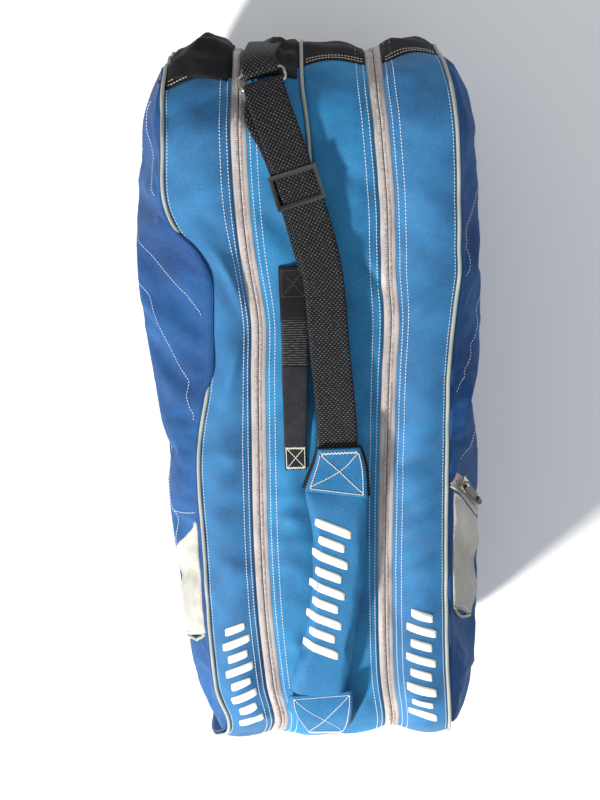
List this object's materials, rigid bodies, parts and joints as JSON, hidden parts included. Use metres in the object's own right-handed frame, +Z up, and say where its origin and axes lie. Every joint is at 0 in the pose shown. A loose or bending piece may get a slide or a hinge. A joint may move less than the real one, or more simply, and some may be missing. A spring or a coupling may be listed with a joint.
{
  "type": "racket bag",
  "caption": "Soft racket bag lying on its base: zipped compartments side by side, hinged-open side covers, padded shoulder strap, grab handle and a zipped side pocket.",
  "frame": {"origin": "middle of the base, on the surface it rests on", "axes": "+Z up through the zips, +Y along the bag to the black end with the strap ring, +X to the side with the pocket"},
  "size_m": [0.344, 0.7496, 0.305],
  "materials": {
    "blue_gusset": "woven polyester, visible weave",
    "blue_side": "finer woven polyester",
    "blue_strap": "woven polyester over foam",
    "black_fabric": "black woven polyester",
    "black_webbing": "coarse basket-weave webbing",
    "zip_tape": "knitted zip tape",
    "zip_coil": "nylon coil",
    "piping": "satin welt",
    "grey_fabric": "light grey woven polyester",
    "lining": "thin plain lining",
    "metal": "plated, slightly worn",
    "black_plastic": "moulded, fine grain"
  },
  "bodies": {
    "root": {"centre_divider": "lining", "base_panel": "blue_side", "tail_base_corner": "blue_side", "head_base_corner": "black_fabric", "black_end_panel": "black_fabric", "centre_piping": "piping", "left_inner_gusset": "blue_gusset", "right_inner_gusset": "blue_gusset", "left_inner_zip_tape": "zip_tape", "right_inner_zip_tape": "zip_tape", "left_inner_zip_coil": "zip_coil", "right_inner_zip_coil": "zip_coil", "left_zip_stops": "metal", "right_zip_stops": "metal", "shoulder_webbing": "black_webbing", "strap_anchor_loop": "black_webbing", "strap_tab": "blue_strap", "padded_strap": "blue_strap", "strap_patch": "blue_strap", "grab_handle": "black_webbing"},
    "left_cover": {"left_side_panel": "blue_side", "left_outer_gusset": "blue_gusset", "left_black_end_strip": "black_fabric", "left_outer_zip_tape": "zip_tape", "left_outer_zip_coil": "zip_coil", "left_seam_piping": "piping", "left_insert": "grey_fabric", "left_insert_piping": "piping"},
    "right_cover": {"right_side_panel": "blue_side", "right_outer_gusset": "blue_gusset", "right_black_end_strip": "black_fabric", "right_outer_zip_tape": "zip_tape", "right_outer_zip_coil": "zip_coil", "right_seam_piping": "piping", "right_insert": "grey_fabric", "right_insert_piping": "piping", "pocket_zip_tape": "zip_tape", "pocket_zip_coil": "zip_coil", "pocket_lining": "lining"},
    "left_zip_slider": {"left_zip_slider": "metal"},
    "left_zip_pull": {"left_zip_pull": "black_plastic"},
    "right_zip_slider": {"right_zip_slider": "metal"},
    "right_zip_pull": {"right_zip_pull": "black_plastic"},
    "pocket_slider": {"pocket_slider": "metal"},
    "pocket_pull": {"pocket_pull": "black_plastic", "pocket_pull_knob": "black_plastic"},
    "strap_adjuster": {"strap_adjuster": "black_plastic"},
    "strap_ring": {"strap_ring": "metal"}
  },
  "joints": [
    {"name": "left_cover_opening", "type": "hinge", "parent": "root", "child": "left_cover", "pos_m": [-0.136, 0, 0], "axis": [0, -1, 0], "range_deg": [0, 55]},
    {"name": "right_cover_opening", "type": "hinge", "parent": "root", "child": "right_cover", "pos_m": [0.136, 0, 0], "axis": [0, 1, 0], "range_deg": [0, 55]},
    {"name": "left_zip_travel", "type": "slide", "parent": "root", "child": "left_zip_slider", "axis": [0, 0, 1], "range_m": [0, 0.07]},
    {"name": "left_pull_swing", "type": "hinge", "parent": "left_zip_slider", "child": "left_zip_pull", "pos_m": [-0.066, -0.3745, 0.108], "axis": [-1, 0, 0], "range_deg": [0, 160]},
    {"name": "right_zip_travel", "type": "slide", "parent": "root", "child": "right_zip_slider", "axis": [0, 0, 1], "range_m": [0, 0.07]},
    {"name": "right_pull_swing", "type": "hinge", "parent": "right_zip_slider", "child": "right_zip_pull", "pos_m": [0.066, -0.3745, 0.108], "axis": [-1, 0, 0], "range_deg": [0, 160]},
    {"name": "pocket_zip_travel", "type": "slide", "parent": "right_cover", "child": "pocket_slider", "axis": [0.4082, -0.6086, -0.6804], "range_m": [0, 0.04]},
    {"name": "pocket_pull_swing", "type": "hinge", "parent": "pocket_slider", "child": "pocket_pull", "pos_m": [0.14791, -0.07148, 0.27298], "axis": [-0.3131, -0.7935, 0.5219], "range_deg": [0, 150]},
    {"name": "strap_adjuster_slide", "type": "slide", "parent": "root", "child": "strap_adjuster", "axis": [-0.268, 0.9616, -0.0599], "range_m": [-0.02, 0.02]},
    {"name": "strap_ring_tilt", "type": "hinge", "parent": "root", "child": "strap_ring", "pos_m": [-0.05008, 0.34685, 0.26634], "axis": [0.9762, 0.2169, 0], "range_deg": [-4, 4]}
  ]
}
